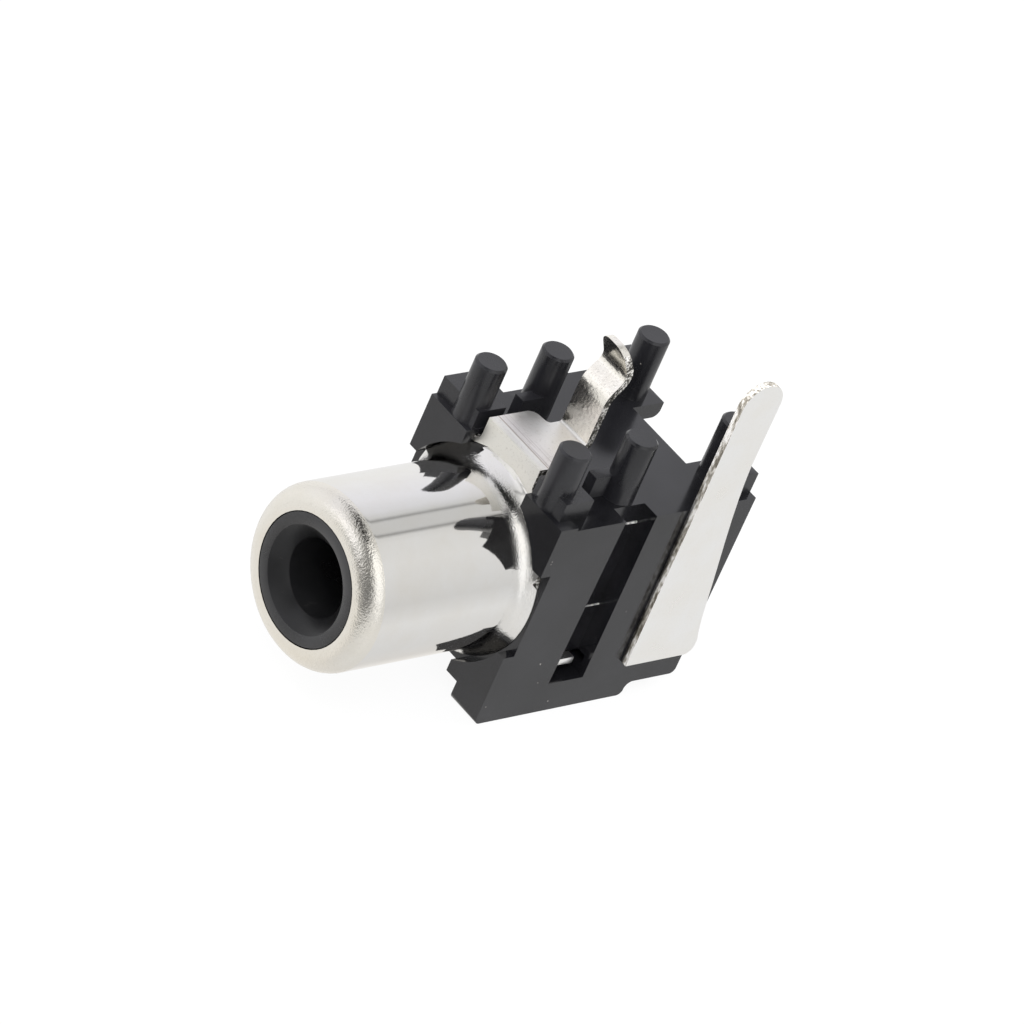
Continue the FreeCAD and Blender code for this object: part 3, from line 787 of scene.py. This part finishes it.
class SOCKET_OT_studio(bpy.types.Operator):
    """Sets the pale floor, the soft lights and the camera"""

    bl_idname = "socket.studio"
    bl_label = "Studio"

    def execute(self, context):
        self.floor(context.scene)
        self.lamps(context.scene)
        self.surround(context.scene)
        self.camera(context.scene)
        context.scene.view_settings.view_transform = "Standard"
        return {"FINISHED"}

    def seen_directly(self, tree, path):
        """1 for rays from the camera, also through a clear thing"""
        return maths(tree, "MAXIMUM", path["Is Camera Ray"], path["Is Transmission Ray"])

    def floor(self, scene):
        """White floor that keeps the object's soft shadow"""
        level = Matrix.Translation((0, 0, cad_low.z - 0.02 * MM))
        mesh = bmesh.new()
        bmesh.ops.create_grid(mesh, x_segments=2, y_segments=2, size=FLOOR_HALF_SIDE, matrix=level)
        data = mesh_from(mesh, "floor")
        floor = bpy.data.objects.new("floor", data)
        scene.collection.objects.link(floor)
        material = bpy.data.materials.new("Pale floor")
        material.use_nodes = True
        tree = material.node_tree
        tree.nodes.clear()
        matt = put(tree, "ShaderNodeBsdfDiffuse", sockets={"Color": (*colours().studio, 1.0)})
        glow = put(tree, "ShaderNodeEmission", sockets={"Color": WHITE, "Strength": 1.0})
        seen = self.seen_directly(tree, put(tree, "ShaderNodeLightPath").outputs)
        share = maths(tree, "MULTIPLY", seen, FLOOR_GLOW)
        mix = put(tree, "ShaderNodeMixShader", sockets={0: share, 1: matt.outputs[0], 2: glow.outputs[0]})
        put(tree, "ShaderNodeOutputMaterial", sockets={"Surface": mix.outputs[0]})
        data.materials.append(material)
        floor.visible_glossy = False

    def lamps(self, scene):
        """Soft lights that face the socket"""
        for name, place, size, power in LAMPS:
            lamp = bpy.data.lights.new(name, "AREA")
            lamp.shape = "SQUARE"
            lamp.size = size
            lamp.energy = power
            holder = bpy.data.objects.new(name, lamp)
            scene.collection.objects.link(holder)
            holder.location = place
            holder.rotation_euler = (-Vector(place)).to_track_quat("-Z", "Y").to_euler()
            holder.visible_glossy = False

    def surround(self, scene):
        """White to the camera, even light on matt faces, and a banded room in the metal"""
        world = bpy.data.worlds.new("Pale surround")
        scene.world = world
        world.use_nodes = True
        tree = world.node_tree
        tree.nodes.clear()
        path = put(tree, "ShaderNodeLightPath").outputs
        generated = put(tree, "ShaderNodeTexCoord").outputs["Generated"]
        ahead, turn = self.turned(tree, generated)
        room = mixed(tree, 1.0, ramp(tree, turn, ROOM_BANDS), self.openings(tree, ahead, turn), "MULTIPLY")
        soft = put(tree, "ShaderNodeBackground", sockets={"Color": WHITE, "Strength": SOFT_LEVEL})
        mirror = put(tree, "ShaderNodeBackground", sockets={"Color": room, "Strength": 1.0})
        lit = put(tree, "ShaderNodeMixShader",
                  sockets={0: path["Is Glossy Ray"], 1: soft.outputs[0], 2: mirror.outputs[0]})
        white = put(tree, "ShaderNodeBackground", sockets={"Color": WHITE, "Strength": 1.0})
        mix = put(tree, "ShaderNodeMixShader",
                  sockets={0: self.seen_directly(tree, path), 1: lit.outputs[0], 2: white.outputs[0]})
        put(tree, "ShaderNodeOutputWorld", sockets={"Surface": mix.outputs[0]})

    def turned(self, tree, direction):
        """A direction's share along the barrel, and its turn about the barrel from 0 to 1"""
        parts = put(tree, "ShaderNodeSeparateXYZ", sockets={0: direction}).outputs
        around = maths(tree, "ARCTAN2", parts["Z"], parts["X"])
        return parts["Y"], spread(tree, around, (-math.pi, math.pi), (0.0, 1.0))

    def patch(self, tree, ahead, turn, middles, halves):
        """Soft mask by fixed direction: for each turn about the barrel, a span of the share along it"""
        middle = ramp(tree, turn, [(place, (1.0 - value) / 2.0) for place, value in middles])
        shifted = maths(tree, "MULTIPLY_ADD", middle, 2.0, -1.0)
        off = maths(tree, "ABSOLUTE", maths(tree, "ADD", ahead, shifted))
        left = maths(tree, "SUBTRACT", ramp(tree, turn, halves), off)
        return spread(tree, left, PATCH_EDGE, (0.0, 1.0), "SMOOTHSTEP")

    def openings(self, tree, ahead, turn):
        """The dark room behind the camera, and the two bright openings beside it"""
        dark = self.patch(tree, ahead, turn, DARK_MIDDLES, DARK_HALVES)
        bright = self.patch(tree, ahead, turn, BRIGHT_MIDDLES, BRIGHT_HALVES)
        depth = spread(tree, turn, DARK_TURNS, DARK_DEPTHS)
        kept = maths(tree, "MULTIPLY_ADD", dark, depth, 1.0)
        lit = maths(tree, "MULTIPLY_ADD", bright, OPENING_GAIN, 1.0)
        return maths(tree, "MULTIPLY", lit, kept)

    def camera(self, scene):
        """Long lens at the photograph's viewing angle"""
        data = bpy.data.cameras.new("Camera")
        data.sensor_width = CAMERA_SENSOR
        data.lens = CAMERA_LENS
        data.clip_start = 0.02
        data.clip_end = 10.0
        camera = bpy.data.objects.new("Camera", data)
        scene.collection.objects.link(camera)
        turn = Matrix(CAMERA_AXES).transposed().to_4x4()
        camera.matrix_world = Matrix.Translation(CAMERA_PLACE) @ turn
        scene.camera = camera


class SOCKET_PT_panel(bpy.types.Panel):
    """Buttons for the socket's pieces and its studio"""

    bl_idname = "SOCKET_PT_panel"
    bl_label = "Phono socket"
    bl_space_type = "VIEW_3D"
    bl_region_type = "UI"
    bl_category = "Socket"

    def draw(self, context):
        for operator in OPERATORS:
            self.layout.operator(operator.bl_idname)
        for name in SocketSizes.__annotations__:
            self.layout.prop(context.scene.socket_sizes, name)
        for name in SocketColours.__annotations__:
            self.layout.prop(context.scene.socket_colours, name)


OPERATORS = (SOCKET_OT_housing, SOCKET_OT_shell, SOCKET_OT_insulator, SOCKET_OT_terminal, SOCKET_OT_studio)
CLASSES = (SocketSizes, SocketColours, *OPERATORS, SOCKET_PT_panel)


def register():
    """Adds the classes, and the scene's sizes and colours."""
    for cls in CLASSES:
        bpy.utils.register_class(cls)
    bpy.types.Scene.socket_sizes = bpy.props.PointerProperty(type=SocketSizes)
    bpy.types.Scene.socket_colours = bpy.props.PointerProperty(type=SocketColours)


def unregister():
    """Takes them away again."""
    del bpy.types.Scene.socket_colours
    del bpy.types.Scene.socket_sizes
    for cls in reversed(CLASSES):
        bpy.utils.unregister_class(cls)


def main():
    """Builds the pieces and the studio."""
    register()
    bpy.ops.socket.housing()
    bpy.ops.socket.shell()
    bpy.ops.socket.insulator()
    bpy.ops.socket.terminal()
    bpy.ops.socket.studio()


if __name__ == "__main__":
    main()
